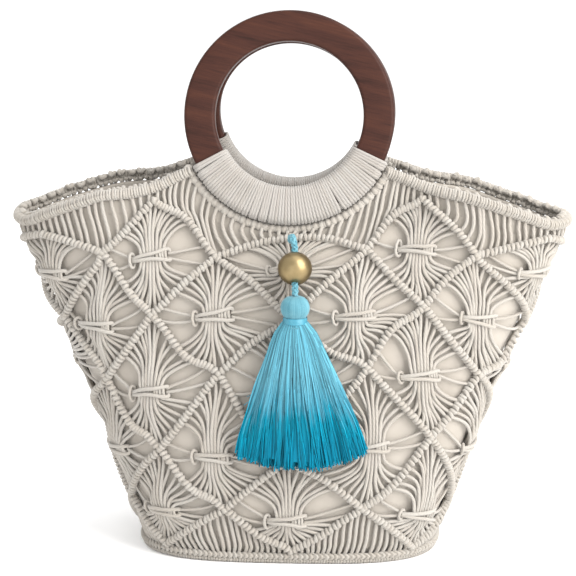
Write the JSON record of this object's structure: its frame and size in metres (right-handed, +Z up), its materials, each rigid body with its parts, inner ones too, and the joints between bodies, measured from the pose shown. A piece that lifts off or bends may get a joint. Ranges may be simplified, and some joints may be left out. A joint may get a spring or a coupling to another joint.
{
  "type": "macrame tote bag",
  "caption": "Knotted cotton net tote over a cloth lining, with two round wooden ring handles and a hanging tassel with a brass bead.",
  "frame": {"origin": "middle of the flat base, on the ground", "axes": "+X to the right along the bag's width, -Y towards the front with the tassel, +Z up"},
  "size_m": [0.3968, 0.1752, 0.378],
  "materials": {
    "cotton_cord": "twisted natural cotton cord, matt",
    "lining_cloth": "plain woven cotton, matt",
    "walnut": "oiled dark wood, satin",
    "brass": "brushed",
    "blue_cotton": "fine thread, light blue fading to teal"
  },
  "bodies": {
    "root": {"base_panel": "cotton_cord", "bottom_band": "cotton_cord", "handle_ring_back": "walnut", "handle_ring_front": "walnut", "handle_wrap_back": "cotton_cord", "handle_wrap_front": "cotton_cord", "hitch_band_back": "cotton_cord", "hitch_band_front": "cotton_cord", "lining": "lining_cloth", "net_body": "cotton_cord", "rim_left": "cotton_cord", "rim_right": "cotton_cord", "tassel": "blue_cotton", "tassel_bead": "brass", "tassel_binding": "blue_cotton", "tassel_cord": "blue_cotton"}
  },
  "joints": []
}
